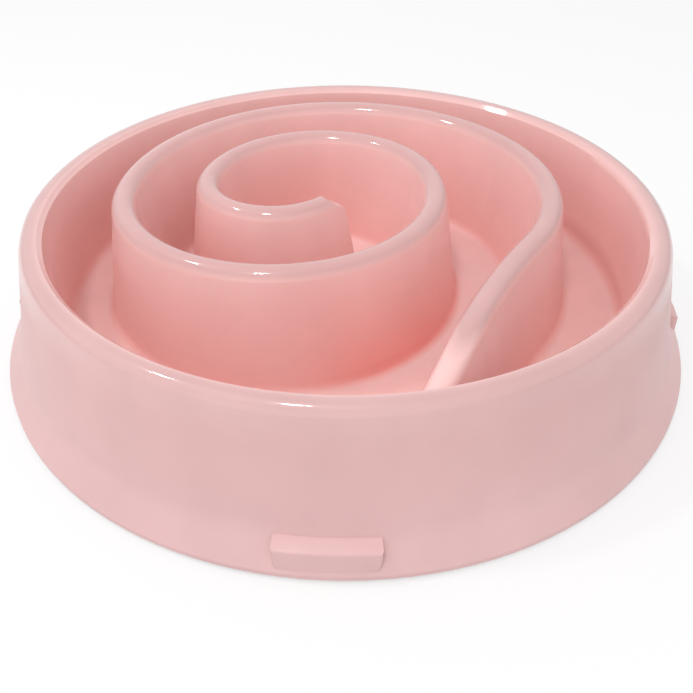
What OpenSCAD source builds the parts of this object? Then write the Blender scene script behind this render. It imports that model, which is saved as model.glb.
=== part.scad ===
// Slow feeder bowl with a hollow moulded spiral ridge, all lengths in millimetres.
// The origin is the middle of the bowl on the surface it stands on, +Z up, front towards -Y.

/* [Bowl] */
// Inner diameter across the mouth, at the rim
mouth_d = 181; // [172:1:200]
// Height from the underside of the foot ring to the top of the rim
bowl_h = 43; // [38:0.5:52]
// Width of the rounded rim
rim_w = 7; // [6.6:0.1:9]
// Thickness of every moulded wall
wall_t = 2.4; // [1.8:0.1:2.8]
// Lean of the outer skirt from the vertical, in degrees
skirt_lean = 12.5; // [8:0.5:15]
// Lean of the inner wall from the vertical, in degrees
wall_lean = 1; // [0.5:0.5:4]
// Height of the food floor above the underside of the foot ring
floor_h = 7.5; // [5:0.5:9]
// Radius where the inner wall runs into the floor
floor_fillet = 4; // [3:0.5:8]

/* [Foot flange] */
// How far the flange stands out from the corner under the skirt
flange_out = 5.6; // [4:0.2:8]
// Height of the corner between the skirt and the flange
flange_h = 9.2; // [7:0.2:12]
// Height of the upright lip at the flange's edge
lip_h = 1.3; // [1:0.1:3]
// Radius of the hollow curve between the skirt and the flange
flange_fillet = 14; // [6:0.5:16]
// Radius over the top edge of the lip
lip_round = 0.6; // [0.3:0.1:1]

/* [Spiral ridge] */
// Height of the ridge's crown above the underside of the foot ring
ridge_h = 45; // [38:0.5:50]
// Width of the ridge's round crown
ridge_w = 7.5; // [6.8:0.1:9]
// Draft of the ridge's side walls, in degrees
ridge_draft = 9; // [5:0.5:11]
// Radius where the ridge runs into the floor
ridge_fillet = 4; // [3:0.5:8]
// Clear width between the outer coil's crown and the rim, without the coil's shift
coil_gap = 19.6; // [16:0.5:24]
// Shift of the outer coil to the right of the bowl's middle
coil_shift_x = -2; // [-4:0.5:2]
// Shift of the outer coil towards the back of the bowl's middle
coil_shift_y = 3.2; // [0:0.1:6]
// How much tighter the bulge before the arm is than the outer coil, as a share of its radius
bulge_share = 0.1045; // [0.05:0.005:0.4]
// How much tighter the front half of the outer coil is than its back half, as a share
front_share = 0.2755; // [0.24:0.0025:0.3]
// How much tighter the inner coil is than the front half of the outer one, as a share
inner_share = 0.1876; // [0.17:0.0025:0.2]
// How much tighter the hook is than the inner coil, as a share of the outer coil's radius
hook_share = 0.213; // [0.19:0.0025:0.23]
// Plan radius at which the arm swings back after the bulge
arm_sway = 240; // [120:10:400]
// Fall of the straight arm's crown from the bulge to the bowl's wall
arm_fall = 4; // [2:0.25:5]
// Length over which the arm's crown turns downwards
arm_bend = 10; // [6:1:20]

/* [Ridge end] */
// Length of the straight end past the hook
tip_run = 6.5; // [4:0.5:9]
// Plan radius of the blunt end face
tip_bow = 12; // [11:0.5:16]
// Radius over the top edge of the blunt end
tip_round = 2; // [1.5:0.25:3]
// Slope of the bevel that runs from the crown down to that edge, in degrees
tip_slope = 32; // [28:1:45]
// Fall of the crown along that bevel
tip_fall = 3.5; // [1:0.1:4]

/* [Foot housings] */
// Angle that one raised housing spans round the flange, in degrees
housing_span = 14; // [13:0.5:24]
// Angle of the front housing from straight ahead, in degrees
housing_turn = -2.2; // [-10:0.1:10]
// How far the housing stands out from the skirt at its top edge
housing_step = 0.7; // [0.4:0.1:1.2]
// How far the housing's front face stands out from its top edge
housing_out = 3.8; // [2:0.1:4.2]
// Height of the housing's top edge above the foot ring
housing_h = 9.2; // [8.4:0.2:12]
// Height of the sloped band over the front face
housing_band = 1.1; // [0.8:0.1:3]
// Radius on the housing's long edges
housing_round = 0.8; // [0.4:0.1:1]
// Radius on the two corners of its front face, in plan
housing_end = 2; // [1:0.1:3]

/* [Rubber feet] */
// Radial width of one foot
foot_w = 6; // [4.5:0.1:6.5]
// Angle that one foot spans, in degrees
foot_span = 11; // [8:0.5:12]
// Depth of the pocket that holds the foot
pocket_depth = 6; // [4.5:0.1:7]
// How far the foot stands out below the foot ring
foot_proud = 1; // [0.5:0.1:2]
// Clearance between a foot and its pocket
foot_clear = 0.15; // [0.05:0.05:0.4]
// Bevel round the sole of a foot
foot_bevel = 0.6; // [0.3:0.1:1]

/* [Hidden] */
$fn = 128;
bowl_colour = [0.93, 0.7, 0.68];
foot_colour = [0.8, 0.8, 0.78];
// Overrun of every cut and of every join
over = 0.5;
// Steps in each rounded corner of an outline
arc_steps = 6;
// How far a fillet's toe dips below the floor, so that it meets the floor at an angle
toe_dip = 0.15;
// Where two lengths of the ridge join, one is slimmer all round by join_step and laps into the other
join_step = 0.02;
join_lap = 0.2;

// Rim: a round bead whose centre is rim_c
rim_r = rim_w / 2;
rim_c = [mouth_d / 2 + rim_r, bowl_h - rim_r];
// Corner under the skirt and outer edge of the flange
flange_c = [rim_c.x + rim_r / cos(skirt_lean) + (rim_c.y - flange_h) * tan(skirt_lean), flange_h];
base_r = flange_c.x + flange_out;
flange_lean = atan2(flange_out, flange_h - lip_h);

// Ridge: a round crown whose centre is crown_z high
crown_r = ridge_w / 2;
crown_z = ridge_h - crown_r;

// Radii of the ridge's arcs, on its centre line, from the outer coil inwards
outer_r = mouth_d / 2 - coil_gap - crown_r;
bulge_r = outer_r * (1 - bulge_share);
front_r = outer_r * (1 - front_share);
inner_r = front_r - outer_r * inner_share;
hook_r = inner_r - outer_r * hook_share;
// Bearings at which one arc runs into the next, and at which the hook ends
arm_at = -35.5;
bulge_at = 29;
front_at = 178;
inner_at = 375.6;
hook_at = 532.3;
tip_at = 675.8;
outer_c = [coil_shift_x, coil_shift_y];
bulge_c = outer_c + (outer_r - bulge_r) * way(bulge_at);
front_c = outer_c + (outer_r - front_r) * way(front_at);
inner_c = front_c + (front_r - inner_r) * way(inner_at);
hook_c = inner_c + (inner_r - hook_r) * way(hook_at);
// Arm from the bulge to the wall: it swings back by sway_turn, then its crown bends down by arm_tilt
sway_turn = 9.5;
sway_c = bulge_c + (bulge_r + arm_sway) * way(arm_at);
arm_start = sway_c - arm_sway * way(arm_at + sway_turn);
arm_way = arm_at + sway_turn - 90;
arm_run = run_to(arm_start, way(arm_way), mouth_d / 2);
arm_tilt = atan(arm_fall / (arm_run - arm_bend / 2));
arm_bend_r = arm_bend / sin(arm_tilt);

// Rubber feet: their two radii, their four stations and the angles that the pocket adds to them
stations = [-90, 0, 90, 180];
foot_out = base_r - 2 * wall_t;
foot_in = foot_out - foot_w;
pocket_gap = atan(foot_clear / foot_in);
pocket_side = pocket_gap + atan(wall_t / foot_in);
// Lean of a housing's front face from the vertical, in degrees
housing_lean = 5;

// Unit vector at a bearing, and the distance from p along d to a circle about the origin
function way(a) = [cos(a), sin(a)];
function run_to(p, d, r) = sqrt((p * d) ^ 2 - p * p + r ^ 2) - p * d;
// Half width of a drafted wall at height z, below a round of radius r centred at height top
function half_at(r, top, lean, z) = r / cos(lean) + (top - z) * tan(lean);

// Points of an arc about c from the bearing first to the bearing last
function arc_points(c, r, first, last) =
    [for (i = [0:arc_steps]) c + r * way(first + (last - first) * i / arc_steps)];
// Points that round the inside corner at p, between faces whose bearings away from p are first and last
function corner_points(p, first, last, r) = let (
    half = (last - first) / 2,
    mid = p + r / sin(half) * way(first + half)
) arc_points(mid, r, first - 90, last - 270);

// Half section of the whole bowl, drawn inwards by inset, down to the height base
module bowl_half(inset, base) {
    r = rim_r - inset;
    top = floor_h - inset;
    foot = [rim_c.x - half_at(r, rim_c.y, wall_lean, top), top];
    skirt = way(skirt_lean);
    flange = way(flange_lean);
    fold = flange_c - inset * (skirt + flange) / (1 + skirt * flange);
    edge_r = base_r - inset;
    edge = [edge_r, fold.y - (edge_r - fold.x) / tan(flange_lean)];
    polygon(concat(
        [[0, base], [0, top]],
        reversed(corner_points(foot, 90 - wall_lean, 180, floor_fillet + inset)),
        arc_points(rim_c, r, 180 - wall_lean, skirt_lean),
        reversed(corner_points(fold, flange_lean - 90, skirt_lean + 90, flange_fillet + inset)),
        inset == 0 ? edge_points(edge, flange_lean, 0, lip_round) : [edge],
        [[edge_r, base]]
    ));
}

// Right-hand outline of a drafted wall, from the toe of its fillet up to its round top
function wall_side(round_c, r, inset) = let (
    low = floor_h - inset - toe_dip,
    foot = [round_c.x + half_at(r, round_c.y, ridge_draft, low), low]
) corner_points(foot, 0, 90 + ridge_draft, ridge_fillet + inset);

// Cross-section of the ridge, drawn inwards by inset
module ridge_section(inset) {
    r = crown_r - inset;
    side = wall_side([0, crown_z], r, inset);
    sunk = floor_h - inset - over;
    half = concat(
        [[side[0].x, sunk]],
        side,
        arc_points([0, crown_z], r, ridge_draft, 90)
    );
    polygon(concat(half, reversed(flipped(half))));
}

function reversed(list) = [for (i = [len(list) - 1:-1:0]) list[i]];
// Mirror image of a list of points, without the last one, which lies on the middle line
function flipped(list) = [for (i = [0:len(list) - 2]) [-list[i].x, list[i].y]];

// Angle that the lap takes on an arc of radius r
function lap(r) = atan(join_lap / r);

// One arc of the ridge about c, from the bearing first down to the bearing last
module ridge_arc(c, r, first, last, inset) {
    translate(c) rotate(last) rotate_extrude(angle = first - last) {
        translate([r, 0]) ridge_section(inset);
    }
}

// Blunt end of the ridge, bowed in plan, with a rounded top edge
module ridge_tip(inset) {
    r = tip_round - inset / 2;
    shoulder = [tip_bow - inset - r, ridge_h - tip_fall - inset - r];
    side = wall_side(shoulder, r, inset);
    bevel = shoulder + r * way(90 - tip_slope);
    sunk = floor_h - inset - over;
    place_tip() intersection() {
        translate([-join_lap, 0]) rotate([90, 0, 90]) {
            linear_extrude(tip_run + 2 * tip_bow) ridge_section(inset);
        }
        translate([tip_run - tip_bow, 0]) rotate_extrude() polygon(concat(
            [[0, sunk], [side[0].x, sunk]],
            side,
            arc_points(shoulder, r, ridge_draft, 90 - tip_slope),
            [[0, bevel.y + bevel.x * tan(tip_slope)]]
        ));
    }
}

// Puts a piece at the hook's end, with +X running out of the hook
module place_tip() {
    translate(hook_c + hook_r * way(tip_at)) rotate(tip_at + 90) children();
}

// Straight arm that bends down a little and then runs on into the wall
module ridge_arm(inset) {
    lift = arm_bend_r - crown_z;
    intersection() {
        cylinder(h = 2 * bowl_h, r = rim_c.x);
        translate(arm_start) rotate(arm_way) translate([0, 0, -lift]) {
            rotate([0, -90, -90]) rotate(-lap(arm_bend_r)) {
                rotate_extrude(angle = arm_tilt + lap(arm_bend_r)) {
                    translate([lift, 0]) rotate(-90) ridge_section(inset);
                }
            }
            rotate([0, arm_tilt, 0]) translate([-join_lap, 0, lift]) rotate([90, 0, 90]) {
                linear_extrude(2 * arm_run) ridge_section(inset + join_step);
            }
        }
    }
}

// The whole form, drawn inwards by inset: the inset form is what the mould's core fills
module form(inset, base) {
    rotate_extrude() bowl_half(inset, base);
    ridge_tip(inset + 4 * join_step);
    ridge_arc(hook_c, hook_r, tip_at, hook_at - lap(hook_r), inset + 3 * join_step);
    ridge_arc(inner_c, inner_r, hook_at, inner_at - lap(inner_r), inset + 2 * join_step);
    ridge_arc(front_c, front_r, inner_at, front_at - lap(front_r), inset + join_step);
    ridge_arc(outer_c, outer_r, front_at, bulge_at, inset);
    ridge_arc(bulge_c, bulge_r, bulge_at + lap(bulge_r), arm_at, inset + join_step);
    ridge_arc(sway_c, arm_sway, arm_at + 180 + sway_turn, arm_at + 180 - lap(arm_sway), inset + 2 * join_step);
    ridge_arm(inset + 3 * join_step);
}

// Puts a piece that spans an angle about the +X axis at one of the four stations round the flange
module station(bearing, span) {
    rotate(bearing + housing_turn - span / 2) children();
}

// Raised housing on the flange, over the pocket of a rubber foot
module housing() {
    edge = [skirt_x(housing_h) + housing_step, housing_h];
    brow = edge + [housing_out, -housing_band];
    low = [brow.x + (brow.y - lip_h) * tan(housing_lean), lip_h];
    slope = atan2(housing_band, housing_out);
    root = skirt_x(housing_h) - wall_t / 2;
    end_r = low.x + foot_clear - housing_end;
    end_at = asin(housing_end / end_r);
    intersection() {
        rotate(-housing_span / 4) rotate_extrude(angle = 1.5 * housing_span) polygon(concat(
            [[root, housing_h]],
            edge_points(edge, 90, 90 - slope, housing_round),
            edge_points(brow, 90 - slope, housing_lean, housing_round),
            [low, [flange_c.x - wall_t, lip_h]]
        ));
        linear_extrude(housing_h + over) polygon(concat(
            [[root / 2, 0]],
            arc_points(end_r * way(end_at), housing_end, -90, end_at),
            [(2 * low.x - end_r) * way(housing_span / 2)],
            arc_points(end_r * way(housing_span - end_at), housing_end, housing_span - end_at, housing_span + 90),
            [root / 2 * way(housing_span)]
        ));
    }
}

// Points that round the outside corner at p, between faces whose outward bearings are first and last
function edge_points(p, first, last, r) = let (
    half = (first - last) / 2,
    mid = p - r / cos(half) * way(last + half)
) arc_points(mid, r, first, last);
// Radius of the skirt's outer face at height z
function skirt_x(z) = flange_c.x - (z - flange_h) * tan(skirt_lean);

// Walls of the pocket under one housing
module pocket_walls() {
    rotate_extrude(angle = foot_span + 2 * pocket_side) {
        intersection() {
            bowl_half(wall_t / 2, 0);
            translate([foot_in - foot_clear - wall_t, 0]) square([base_r, pocket_depth + wall_t]);
        }
    }
}

module pocket() {
    rotate_extrude(angle = foot_span + 2 * pocket_gap) {
        translate([foot_in - foot_clear, -over]) square([foot_w + 2 * foot_clear, pocket_depth + over]);
    }
}

module bowl() {
    color(bowl_colour) translate([0, 0, foot_proud]) difference() {
        union() {
            difference() {
                form(0, 0);
                form(wall_t, -over);
            }
            for (bearing = stations) {
                station(bearing, housing_span) housing();
                station(bearing, foot_span + 2 * pocket_side) pocket_walls();
            }
        }
        for (bearing = stations) {
            station(bearing, foot_span + 2 * pocket_gap) pocket();
        }
    }
}

// One rubber foot, pressed into its pocket up to the roof
module foot(bearing) {
    color(foot_colour) translate([0, 0, foot_proud]) station(bearing, foot_span) {
        rotate_extrude(angle = foot_span) polygon([
            [foot_in + foot_bevel, -foot_proud], [foot_out - foot_bevel, -foot_proud],
            [foot_out, foot_bevel - foot_proud], [foot_out, pocket_depth],
            [foot_in, pocket_depth], [foot_in, foot_bevel - foot_proud]
        ]);
    }
}

bowl();
foot(stations[0]);  // foot_front
foot(stations[1]);  // foot_right
foot(stations[2]);  // foot_back
foot(stations[3]);  // foot_left
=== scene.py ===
# Slow feeder bowl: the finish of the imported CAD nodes, the studio and the camera, in metres
import math
import bpy
from mathutils import Matrix, Vector


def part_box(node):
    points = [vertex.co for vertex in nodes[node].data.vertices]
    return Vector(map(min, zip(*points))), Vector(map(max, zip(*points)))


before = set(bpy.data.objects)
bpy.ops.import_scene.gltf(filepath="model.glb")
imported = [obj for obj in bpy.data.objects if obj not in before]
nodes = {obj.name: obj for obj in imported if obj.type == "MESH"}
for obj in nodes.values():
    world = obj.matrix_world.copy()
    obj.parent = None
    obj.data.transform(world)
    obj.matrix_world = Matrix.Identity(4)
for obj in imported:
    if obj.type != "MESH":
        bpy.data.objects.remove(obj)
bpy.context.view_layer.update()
bowlLow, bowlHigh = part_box("bowl")
print("frame loaded:", sorted(nodes))


# Node helpers: most add a node to a tree and give back the socket that leaves it

colourSockets = {"first": 6, "second": 7, "mixed": 2}    # of the Mix node when it mixes colours
shaderSockets = {"first": 1, "second": 2}                # of the Mix Shader node


def newMaterial(name):
    mat = bpy.data.materials.new(name)
    mat.use_nodes = True
    return mat, mat.node_tree, mat.node_tree.nodes["Principled BSDF"]


def setSockets(node, values):
    for socket, value in values.items():
        node.inputs[socket].default_value = value


def noise(tree, place, pattern):
    node = tree.nodes.new("ShaderNodeTexNoise")
    setSockets(node, pattern)
    tree.links.new(place, node.inputs["Vector"])
    return node.outputs["Fac"]


def ramp(tree, value, stops):
    node = tree.nodes.new("ShaderNodeValToRGB")
    elements = node.color_ramp.elements
    while len(elements) < len(stops):
        elements.new(0.5)    # any place, since it is set below
    for element, (at, colour) in zip(elements, stops):
        element.position = at
        element.color = (*colour, 1)
    tree.links.new(value, node.inputs["Fac"])
    return node.outputs["Color"]


def span(tree, value, start, end, low, high):
    node = tree.nodes.new("ShaderNodeMapRange")
    setSockets(node, {"From Min": start, "From Max": end, "To Min": low, "To Max": high})
    tree.links.new(value, node.inputs["Value"])
    return node.outputs["Result"]


def spread(tree, value, low, high):
    return span(tree, value, 0, 1, low, high)


def blend(tree, share, colour, other):
    node = tree.nodes.new("ShaderNodeMix")
    node.data_type = "RGBA"
    tree.links.new(share, node.inputs["Factor"])
    tree.links.new(colour, node.inputs[colourSockets["first"]])
    tree.links.new(other, node.inputs[colourSockets["second"]])
    return node.outputs[colourSockets["mixed"]]


def mixShaders(tree, share, surface, other):
    node = tree.nodes.new("ShaderNodeMixShader")
    tree.links.new(share, node.inputs["Fac"])
    tree.links.new(surface, node.inputs[shaderSockets["first"]])
    tree.links.new(other, node.inputs[shaderSockets["second"]])
    return node.outputs["Shader"]


def scaled(tree, colour, share):
    node = tree.nodes.new("ShaderNodeVectorMath")
    node.operation = "SCALE"
    tree.links.new(colour, node.inputs[0])
    tree.links.new(share, node.inputs["Scale"])
    return node.outputs["Vector"]


def dimmed(tree, colour, pattern, share):
    # a noise pattern lies round a half, so on average it takes the share away
    return scaled(tree, colour, spread(tree, pattern, 1 - 2 * share, 1))


def maths(tree, operation, value, other):
    node = tree.nodes.new("ShaderNodeMath")
    node.operation = operation
    tree.links.new(value, node.inputs[0])
    tree.links.new(other, node.inputs[1])
    return node.outputs["Value"]


def stretched(tree, place, factors):
    node = tree.nodes.new("ShaderNodeVectorMath")
    node.operation = "MULTIPLY"
    node.inputs[1].default_value = factors
    tree.links.new(place, node.inputs[0])
    return node.outputs["Vector"]


def heightAndRadius(tree, place):
    split = tree.nodes.new("ShaderNodeSeparateXYZ")
    length = tree.nodes.new("ShaderNodeVectorMath")
    length.operation = "LENGTH"
    tree.links.new(place, split.inputs["Vector"])
    flat = stretched(tree, place, (1, 1, 0))
    tree.links.new(flat, length.inputs[0])
    return split.outputs["Z"], length.outputs["Value"]


def bump(tree, height, relief, below=None):
    node = tree.nodes.new("ShaderNodeBump")
    setSockets(node, relief)
    tree.links.new(height, node.inputs["Height"])
    if below:
        tree.links.new(below, node.inputs["Normal"])
    return node.outputs["Normal"]


def objectCoordinates(tree):
    return tree.nodes.new("ShaderNodeTexCoord").outputs["Object"]


# Pink moulded plastic with painted light: greyer outside, clearer inside (painted interreflection), painted
# crease shade deepest where the coil meets the floor, painted shade on the crowns
# Each list of colours goes by the share of the way up from the food floor to the crowns

plastic = {
    # the skirt's colours: the same plastic paler and greyer than inside, painted light in place of
    # interreflection
    "skirt": [
        (0.0, (0.80, 0.515, 0.512)),
        (0.3, (0.80, 0.50, 0.492)),
        (0.92, (0.77, 0.475, 0.465)),
        # painted shade: the crowns darker
        (0.985, (0.63, 0.365, 0.355)),
    ],
    "coil": [
        (0.0, (0.94, 0.68, 0.66)),
        # painted crease shade: a deep band just above the food floor
        (0.05, (0.92, 0.38, 0.34)),
        (0.14, (0.96, 0.43, 0.395)),
        (0.4, (0.945, 0.505, 0.475)),
        (0.94, (0.97, 0.575, 0.55)),
        # painted shade: the crowns darker
        (0.985, (0.70, 0.395, 0.385)),
    ],
    "wall": [
        (0.0, (0.94, 0.615, 0.585)),
        # painted crease shade, weaker than the coil's
        (0.06, (0.975, 0.55, 0.52)),
        (0.3, (0.975, 0.585, 0.56)),
        (0.94, (0.98, 0.61, 0.585)),
        # painted shade: the crowns darker
        (0.985, (0.70, 0.395, 0.385)),
    ],
    "coilFrom": (0.032, 0.04),                 # radii at which the wall's colours turn into the coil's deeper painted crease shade
    "coilTo": (0.047, 0.055),                  # radii at which they turn back
    "rimInset": 0.0194,                        # from the bowl's edge in to where the skirt's colours begin
    "rimFade": 0.004,                          # the width over which they do
    "floorAbove": 0.0072,                      # food floor, above the bowl's lowest point
    "crownBelow": 0.0005,                      # where the colours end, below the bowl's highest point
    "clouds": {"Scale": 26, "Detail": 6, "Roughness": 0.6},
    "cloudShare": 0.1,
    "streaks": {"Scale": 110, "Detail": 3},
    "streakStretch": (1, 1, 0.22),             # streaks run up and down
    "streakShare": 0.025,
    "patches": {"Scale": 59.8, "Detail": 4},
    "roughness": (0.36, 0.46),
    "wave": {"Scale": 60, "Detail": 2},
    "waveRelief": {"Distance": 0.00025, "Strength": 0.1},
    "grain": {"Scale": 900, "Detail": 2},
    "grainRelief": {"Distance": 0.00004, "Strength": 0.08},
    "shine": (0.06, 1.0),                      # coat on the skirt and on the crowns
    "shineBelow": (0.012, 0.004),              # where the one turns into the other, below the highest point
    "skin": {
        "IOR": 1.5,
        "Specular IOR Level": 0.3,
        "Coat Roughness": 0.08,
        "Coat IOR": 1.5,
        "Subsurface Weight": 0.04,
        "Subsurface Radius": (1.0, 0.36, 0.3),
        "Subsurface Scale": 0.0022,
    },
}


def plasticColourWithPaintedLight(tree, place, height, radius):
    floorAt = bowlLow.z + plastic["floorAbove"]
    crownAt = bowlHigh.z - plastic["crownBelow"]
    rimAt = bowlHigh.x - plastic["rimInset"]
    up = span(tree, height, floorAt, crownAt, 0, 1)
    # between these radii the coil's colours, with deeper painted crease shade
    middle = span(tree, radius, *plastic["coilFrom"], 1, 0)
    outward = span(tree, radius, *plastic["coilTo"], 0, 1)
    offCoil = maths(tree, "MAXIMUM", outward, middle)
    # paler skirt colours outside the rim, deeper ones within: painted interreflection on one plastic
    inside = span(tree, radius, rimAt, rimAt + plastic["rimFade"], 1, 0)
    inner = blend(tree, offCoil, ramp(tree, up, plastic["coil"]), ramp(tree, up, plastic["wall"]))
    shade = blend(tree, inside, ramp(tree, up, plastic["skirt"]), inner)
    streaks = noise(tree, stretched(tree, place, plastic["streakStretch"]), plastic["streaks"])
    faded = dimmed(tree, shade, streaks, plastic["streakShare"])
    return dimmed(tree, faded, noise(tree, place, plastic["clouds"]), plastic["cloudShare"])


def makePlastic():
    mat, tree, shader = newMaterial("pinkPlastic")
    place = objectCoordinates(tree)
    height, radius = heightAndRadius(tree, place)
    patches = noise(tree, place, plastic["patches"])
    soft = bump(tree, noise(tree, place, plastic["wave"]), plastic["waveRelief"])
    fine = bump(tree, noise(tree, place, plastic["grain"]), plastic["grainRelief"], soft)
    shineAt = [bowlHigh.z - below for below in plastic["shineBelow"]]
    tree.links.new(plasticColourWithPaintedLight(tree, place, height, radius), shader.inputs["Base Color"])
    tree.links.new(spread(tree, patches, *plastic["roughness"]), shader.inputs["Roughness"])
    tree.links.new(fine, shader.inputs["Normal"])
    tree.links.new(span(tree, height, *shineAt, *plastic["shine"]), shader.inputs["Coat Weight"])
    setSockets(shader, plastic["skin"])
    return mat


# Grey rubber of the feet: its dust is paler and rougher

rubber = {
    "dust": {"Scale": 140, "Detail": 5, "Roughness": 0.65},
    "colours": [(0.38, (0.45, 0.44, 0.43)), (0.6, (0.62, 0.61, 0.59))],
    "roughness": (0.6, 0.85),
    "grain": {"Scale": 2600, "Detail": 3},
    "grainRelief": {"Distance": 0.0001, "Strength": 0.35},
}


def makeRubber():
    mat, tree, shader = newMaterial("footRubber")
    place = objectCoordinates(tree)
    dust = noise(tree, place, rubber["dust"])
    grain = noise(tree, place, rubber["grain"])
    tree.links.new(ramp(tree, dust, rubber["colours"]), shader.inputs["Base Color"])
    tree.links.new(spread(tree, dust, *rubber["roughness"]), shader.inputs["Roughness"])
    tree.links.new(bump(tree, grain, rubber["grainRelief"]), shader.inputs["Normal"])
    return mat


# The CAD nodes come as loose triangles: modifiers join them and shade them smooth up to an edge angle

smoothing = {"weldAt": 0.00003, "edgeAngle": 28}    # metres, degrees


def makeSmoother():
    group = bpy.data.node_groups.new("smoothByAngle", "GeometryNodeTree")
    group.interface.new_socket("Geometry", in_out="INPUT", socket_type="NodeSocketGeometry")
    group.interface.new_socket("Geometry", in_out="OUTPUT", socket_type="NodeSocketGeometry")
    make = group.nodes.new
    link = group.links.new
    entry = make("NodeGroupInput")
    leave = make("NodeGroupOutput")
    faces = make("GeometryNodeSetShadeSmooth")
    edges = make("GeometryNodeSetShadeSmooth")
    edges.domain = "EDGE"
    edges.inputs["Shade Smooth"].default_value = False
    angle = make("GeometryNodeInputMeshEdgeAngle")
    sharp = make("FunctionNodeCompare")
    sharp.operation = "GREATER_THAN"
    sharp.inputs["B"].default_value = math.radians(smoothing["edgeAngle"])
    link(angle.outputs["Unsigned Angle"], sharp.inputs["A"])
    link(entry.outputs["Geometry"], faces.inputs["Geometry"])
    link(faces.outputs["Geometry"], edges.inputs["Geometry"])
    link(sharp.outputs["Result"], edges.inputs["Selection"])
    link(edges.outputs["Geometry"], leave.inputs["Geometry"])
    return group


def finishNode(piece, mat, smoother):
    piece.material_slots[0].material = mat
    weld = piece.modifiers.new("weld", "WELD")
    weld.merge_threshold = smoothing["weldAt"]
    smooth = piece.modifiers.new("smooth", "NODES")
    smooth.node_group = smoother


smoother = makeSmoother()
finishNode(nodes["bowl"], makePlastic(), smoother)
print("plastic on the bowl")
rubberMat = makeRubber()
for name in sorted(nodes):
    if name.startswith("foot"):
        finishNode(nodes[name], rubberMat, smoother)
print("rubber on the feet")


# Studio: white paper floor, two small round lamps, and a world whose light differs by direction low down

studio = {
    "floorSize": 6.0,
    "floorDrop": 0.0001,                       # below the feet, so that no two faces share a plane
    "floorSkin": {"Base Color": (0.8, 0.8, 0.8, 1), "Roughness": 0.9, "Specular IOR Level": 0.1},
    "seenShade": {"Color": (0.35, 0.35, 0.35, 1)},      # the camera sees this, which takes shadows,
    "seenGlow": {"Strength": 0.59},            # and this on top, which takes none
    "directions": (-1, 1),                     # a direction's X goes from left to right, its Y to the back
    "lowEnds": (1.45, 0.9),                    # light from low down, in front and at the back
    "lowSides": [(0.0, 0.22), (0.34, 1.2), (0.6, 0.84), (1.0, 0.24)],    # times this, from left to right
    "sky": {"From Min": 0.05, "From Max": 0.4, "To Max": 0.92},          # turns into this further up
    "aim": (0, 0, 0.03),                       # what the lamps point at
    "lamps": {
        "keySoftbox": {"place": (-0.123, -0.258, 0.64), "size": 0.075, "power": 1.0},
        "sideSoftbox": {"place": (-0.369, 0.027, 0.596), "size": 0.06, "power": 0.65},
    },
}


def floorSeen(tree):
    shade = tree.nodes.new("ShaderNodeBsdfDiffuse")
    glow = tree.nodes.new("ShaderNodeEmission")
    both = tree.nodes.new("ShaderNodeAddShader")
    setSockets(shade, studio["seenShade"])
    setSockets(glow, studio["seenGlow"])
    tree.links.new(shade.outputs["BSDF"], both.inputs[0])
    tree.links.new(glow.outputs["Emission"], both.inputs[1])
    return both.outputs["Shader"]


def makeFloor():
    bpy.ops.mesh.primitive_plane_add(size=studio["floorSize"], location=(0, 0, -studio["floorDrop"]))
    floor = bpy.context.object
    floor.name = "floor"
    mat, tree, shader = newMaterial("floorPaper")
    setSockets(shader, studio["floorSkin"])
    rays = tree.nodes.new("ShaderNodeLightPath").outputs
    direct = maths(tree, "MAXIMUM", rays["Is Camera Ray"], rays["Is Glossy Ray"])
    seen = maths(tree, "MAXIMUM", direct, rays["Is Transmission Ray"])
    paper = mixShaders(tree, seen, shader.outputs["BSDF"], floorSeen(tree))
    below = tree.nodes.new("ShaderNodeNewGeometry").outputs["Backfacing"]
    clear = tree.nodes.new("ShaderNodeBsdfTransparent").outputs["BSDF"]    # seen from below
    oneSided = mixShaders(tree, below, paper, clear)
    tree.links.new(oneSided, tree.nodes["Material Output"].inputs["Surface"])
    floor.data.materials.append(mat)


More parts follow.
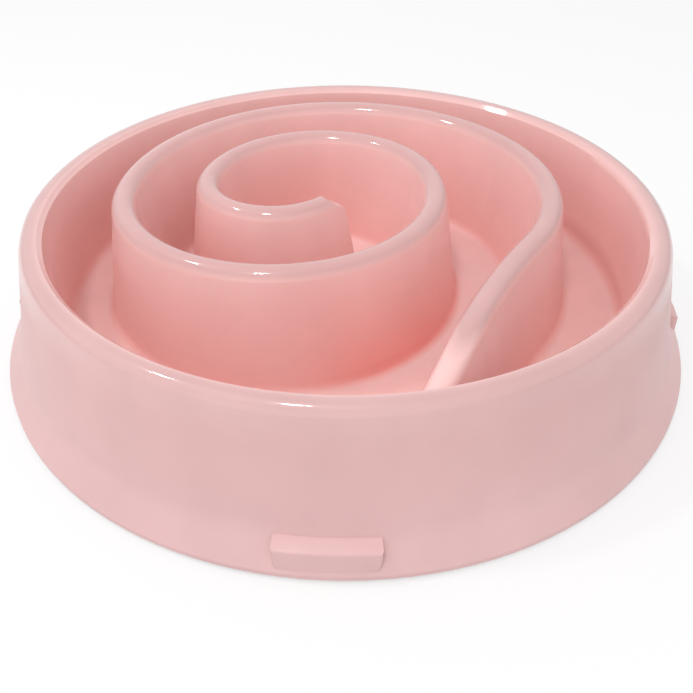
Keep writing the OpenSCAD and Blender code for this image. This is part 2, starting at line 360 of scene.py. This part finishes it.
def makeWorld():
    world = bpy.data.worlds.new("studioWorld")
    bpy.context.scene.world = world
    world.use_nodes = True
    tree = world.node_tree
    background = tree.nodes["Background"]
    setSockets(background, {"Color": (1, 1, 1, 1)})
    split = tree.nodes.new("ShaderNodeSeparateXYZ")
    tree.links.new(tree.nodes.new("ShaderNodeTexCoord").outputs["Generated"], split.inputs["Vector"])
    across = span(tree, split.outputs["X"], *studio["directions"], 0, 1)
    sides = ramp(tree, across, [(at, (level,) * 3) for at, level in studio["lowSides"]])
    ends = span(tree, split.outputs["Y"], *studio["directions"], *studio["lowEnds"])
    sky = tree.nodes.new("ShaderNodeMapRange")
    setSockets(sky, studio["sky"])
    tree.links.new(split.outputs["Z"], sky.inputs["Value"])
    tree.links.new(maths(tree, "MULTIPLY", sides, ends), sky.inputs["To Min"])
    tree.links.new(sky.outputs["Result"], background.inputs["Strength"])


def makeLamp(name, spec):
    data = bpy.data.lights.new(name, "AREA")
    data.shape = "DISK"
    data.size = spec["size"]
    data.energy = spec["power"]
    lamp = bpy.data.objects.new(name, data)
    bpy.context.scene.collection.objects.link(lamp)
    lamp.location = spec["place"]
    towards = Vector(studio["aim"]) - lamp.location
    lamp.rotation_euler = towards.to_track_quat("-Z", "Y").to_euler()


makeFloor()
makeWorld()
for lampName, lampSpec in studio["lamps"].items():
    makeLamp(lampName, lampSpec)
print("studio")


# Camera, solved from the photo's ellipses

camera = {
    "place": (0.0003, -0.2119, 0.1537),
    "tilt": 51.1,                              # degrees
    "roll": 0.16,
    "lens": 38.96,                             # millimetres, as the sensor
    "sensor": 36,
    "nearest": 0.01,
}


def makeCamera():
    data = bpy.data.cameras.new("camera")
    data.lens = camera["lens"]
    data.sensor_width = camera["sensor"]
    data.clip_start = camera["nearest"]
    cam = bpy.data.objects.new("camera", data)
    bpy.context.scene.collection.objects.link(cam)
    tilt = Matrix.Rotation(math.radians(camera["tilt"]), 4, "X")
    roll = Matrix.Rotation(math.radians(camera["roll"]), 4, "Z")
    cam.matrix_world = Matrix.Translation(camera["place"]) @ tilt @ roll
    bpy.context.scene.camera = cam


makeCamera()
print("camera")

bpy.context.scene.view_settings.view_transform = "Standard"
print("scene ready")
